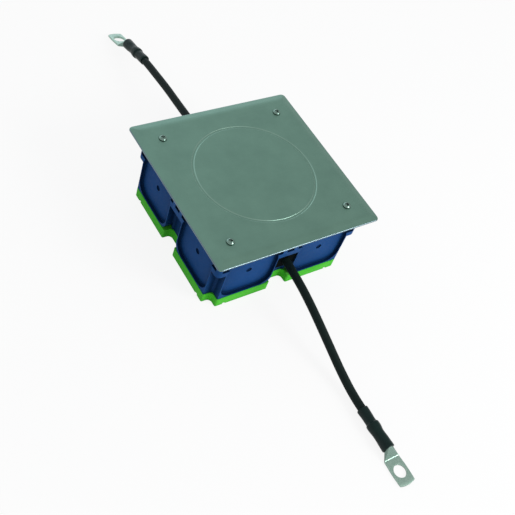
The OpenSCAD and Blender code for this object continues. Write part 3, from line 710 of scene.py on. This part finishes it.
def pressed_cover():
    """The cover sheet: its edge is rolled down, a ring is pressed in, and four screw holes are punched."""
    hole_radius, cut_edge, highlight_from, highlight_to = 2.25, 0.7, 0.1, 0.9
    bm = bmesh.new()
    skin_rings(bm, [[bm.verts.new((x * MM, y * MM, z * MM)) for x, y in loop] for loop, z in cover_loops()])
    punch = bmesh.new()
    for x in (-SCREW_AT, SCREW_AT):
        for y in (-SCREW_AT, SCREW_AT):
            bmesh.ops.create_cone(punch, cap_ends=True, segments=48, radius1=hole_radius * MM,
                                  radius2=hole_radius * MM, depth=6 * MM,
                                  matrix=Matrix.Translation((x * MM, y * MM, (COVER_TOP - 1) * MM)))
    piece = new_piece("cover_sheet", as_mesh("cover_sheet", drilled(bm, punch), 40), cover_steel)
    piece.data.materials.append(sheared_edge)
    piece.data.materials.append(ring_painted_highlight_steel)
    for face in piece.data.polygons:
        x, y, z = face.center / MM
        from_middle = math.hypot(x, y)
        into_groove = min(from_middle - RING_INSIDE, RING_OUTSIDE - from_middle)
        if max(abs(x), abs(y)) > COVER_HALF - cut_edge:
            face.material_index = 1
        # The sides of the ring's groove get the painted highlight
        elif z > COVER_TOP - COVER_THICK / 2 and highlight_from < into_groove < highlight_to:
            face.material_index = 2
    keep_flat(piece)
    stand_in(piece, "cover_plate")


def tapered_bar(length, width, depth):
    """One arm of the cross recess, from just over the head's top: a bar that narrows as it goes down."""
    bm = bmesh.new()
    rings = []
    for long_share, wide_share, z in ((0.48, 0.72, -depth), (1, 1, 0.4)):
        x_half, y_half = length / 2 * long_share * MM, width / 2 * wide_share * MM
        rings.append([bm.verts.new((x * x_half, y * y_half, z * MM)) for x, y in CORNER_SIGNS])
    skin_rings(bm, rings)
    return bm


def pan_head_screw(name, node, sign_x, sign_y, turn):
    """Cross-recess pan head screw through the cover: a domed head with a round shoulder."""
    # Radii of the head, of its dome and of the shank, and then the head's height and the shank's length
    head, dome, shank, height, length = 3.8, 4.712, 1.95, 2.8, 14
    cross_length, cross_width, cross_depth = 5.2, 1.6, 2
    sides = 48
    outline = [(shank - 0.4, -length), (shank, -length + 0.4), (shank, 0), (head - 0.1, 0), (head, 0.12),
               (head, 0.55), (head - 0.04, 0.85), (head - 0.14, 1.12)]
    for r in (3.4, 3.1, 2.8, 2.4, 2.0, 1.5, 1.0, 0.5):
        outline.append((r, math.sqrt(dome * dome - r * r) - dome + height))
    angles = [2 * math.pi * k / sides for k in range(sides)]
    bm = bmesh.new()
    skin_rings(bm, [[bm.verts.new((r * MM * math.cos(a), r * MM * math.sin(a), z * MM)) for a in angles]
                    for r, z in outline])
    for quarter in (0, math.pi / 2):
        arm = tapered_bar(cross_length, cross_width, cross_depth)
        arm.transform(Matrix.Translation((0, 0, height * MM)) @ Matrix.Rotation(quarter, 4, "Z"))
        bm = drilled(bm, arm)
    round_edges(bm, 0.1, 2, 40)
    bm.transform(Matrix.Translation((sign_x * SCREW_AT * MM, sign_y * SCREW_AT * MM, COVER_TOP * MM))
                 @ Matrix.Rotation(math.radians(turn), 4, "Z"))
    piece = new_piece(name, as_mesh(name, bm, 40), screw_steel)
    stand_in(piece, node)


pressed_cover()
for i, ((x, y), turn) in enumerate(zip(CORNER_SIGNS, SCREW_TURNS), 1):
    pan_head_screw(f"pan_head_{i}", f"cover_screw_{i}", x, y, turn)


# Rubber bushes

for end in ("front", "back"):
    softened(f"bush_{end}", f"entry_bush_{end}", moulded_rubber, [(0.4, 2, 30, anywhere)])


# Finishes of the CAD pieces that keep their shape

NODE_FINISH = {
    "cover_gasket": moulded_rubber, "thread_insert": turned_brass,
    "base_screw": zinc_steel, "block_screw": zinc_steel, "cable_tail": sheath_pvc,
    "inner_lug": tinned_copper, "insulator_block": block_resin, "link_bolt": zinc_steel,
    "test_link": bare_copper, "flat_washer": zinc_steel, "spring_washer": zinc_steel,
    "link_nut": turned_brass,
}
for node_name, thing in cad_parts.items():
    for start, finish in NODE_FINISH.items():
        if node_name.startswith(start):
            thing.data.materials.clear()
            thing.data.materials.append(finish)


# Floor, background and light

def white_floor():
    """A wide floor of matt white paper. The camera sees it nearly white whatever the light, with the
    object's soft shadow on it, and metal mirrors it about half white."""
    reach, gap = 6, 0.05 * MM
    white_to_camera, white_in_mirrors = 0.88, 0.55
    mesh = bpy.data.meshes.new("studio_floor")
    mesh.from_pydata([(x * reach, y * reach, 0) for x, y in CORNER_SIGNS], [], [(0, 1, 2, 3)])
    floor = bpy.data.objects.new("studio_floor", mesh)
    floor.location.z = -gap
    bpy.context.collection.objects.link(floor)
    paper = fresh("white_paper_floor")
    ray = add(paper, "LightPath")
    seen = add(paper, "Math", {0: ray.outputs["Is Camera Ray"], 1: ray.outputs["Is Glossy Ray"]},
               operation="MAXIMUM")
    mirrored = add(paper, "Math", {0: ray.outputs["Is Glossy Ray"], 1: white_in_mirrors},
                   operation="MULTIPLY")
    share = add(paper, "Math", {0: ray.outputs["Is Camera Ray"], 1: white_to_camera, 2: mirrored.outputs[0]},
                operation="MULTIPLY_ADD")
    # It throws a little less light back on the object than the camera and mirroring metal see of it
    paper_tone = add(paper, "MapRange", {"Value": seen.outputs[0], "To Min": 0.8, "To Max": 0.95})
    matt = add(paper, "BsdfDiffuse", {"Color": paper_tone.outputs[0]})
    white = add(paper, "Emission", {"Color": (1, 1, 1, 1), "Strength": 1.0})
    both = add(paper, "MixShader", {0: share.outputs[0], 1: matt.outputs[0], 2: white.outputs[0]})
    add(paper, "OutputMaterial", {"Surface": both.outputs[0]})
    mesh.materials.append(paper)


def studio_room():
    """White background for the camera, and an even, soft room light for the object."""
    world = bpy.data.worlds.new("studio_room")
    bpy.context.scene.world = world
    world.use_nodes = True
    world.node_tree.nodes.clear()
    path = add(world, "LightPath")
    seen = add(world, "Math", {0: path.outputs["Is Camera Ray"], 1: path.outputs["Is Transmission Ray"]},
               operation="MAXIMUM")
    toward = add(world, "SeparateXYZ", {"Vector": add(world, "TexCoord").outputs["Generated"]})
    # The light on matt surfaces is dimmer from the side at -X, and from above
    side = add(world, "MapRange", {"Value": toward.outputs["X"], "From Min": -0.9, "From Max": 0.1,
                                   "To Min": 0.5, "To Max": 1.0})
    height = add(world, "MapRange", {"Value": toward.outputs["Z"], "To Min": 1.05, "To Max": 0.5})
    soft = add(world, "Math", {0: side.outputs[0], 1: height.outputs[0]}, operation="MULTIPLY")
    # What shiny surfaces mirror is brightest low down, and a little dimmer at +X
    low_down = add(world, "MapRange", {"Value": toward.outputs["Z"], "From Max": 0.42, "To Min": 1.05,
                                       "To Max": 0.66})
    to_right = add(world, "MapRange", {"Value": toward.outputs["X"], "From Min": 0.35, "From Max": 0.9,
                                       "To Min": 1.0, "To Max": 0.85})
    mirrored = add(world, "Math", {0: low_down.outputs[0], 1: to_right.outputs[0]}, operation="MULTIPLY")
    level = add(world, "Mix", {0: path.outputs["Is Glossy Ray"], 2: soft.outputs[0], 3: mirrored.outputs[0]})
    # Both are stronger and slightly blue behind the box, at +Y
    behind = add(world, "MapRange", {"Value": toward.outputs["Y"], "From Min": 0.42, "From Max": 0.85,
                                     "To Min": 0.0, "To Max": 1.0})
    gain = add(world, "MapRange", {"Value": behind.outputs[0], "To Min": 1.0, "To Max": 1.5})
    tint = add(world, "Mix", {0: behind.outputs[0], 6: (1, 1, 1, 1), 7: (0.94, 1.01, 1.07, 1)},
               data_type="RGBA")
    strength = add(world, "Math", {0: level.outputs[0], 1: gain.outputs[0]}, operation="MULTIPLY")
    room = add(world, "Background", {"Color": tint.outputs[2], "Strength": strength.outputs[0]})
    backdrop = add(world, "Background", {"Color": (1, 1, 1, 1), "Strength": 1.0})
    mixed = add(world, "MixShader", {0: seen.outputs[0], 1: room.outputs[0], 2: backdrop.outputs[0]})
    add(world, "OutputWorld", {"Surface": mixed.outputs[0]})


def soft_key():
    """One large soft lamp, high in front of the box and to its right."""
    lamp = bpy.data.lights.new("soft_key", "AREA")
    lamp.shape = "SQUARE"
    lamp.size = 0.5
    lamp.energy = 8
    key = bpy.data.objects.new("soft_key", lamp)
    bpy.context.collection.objects.link(key)
    key.location = (0.62, -0.98, 0.76)
    key.rotation_euler = (Vector((0, 0, 0.03)) - key.location).to_track_quat("-Z", "Y").to_euler()


white_floor()
studio_room()
soft_key()
bpy.context.scene.view_settings.view_transform = "Standard"
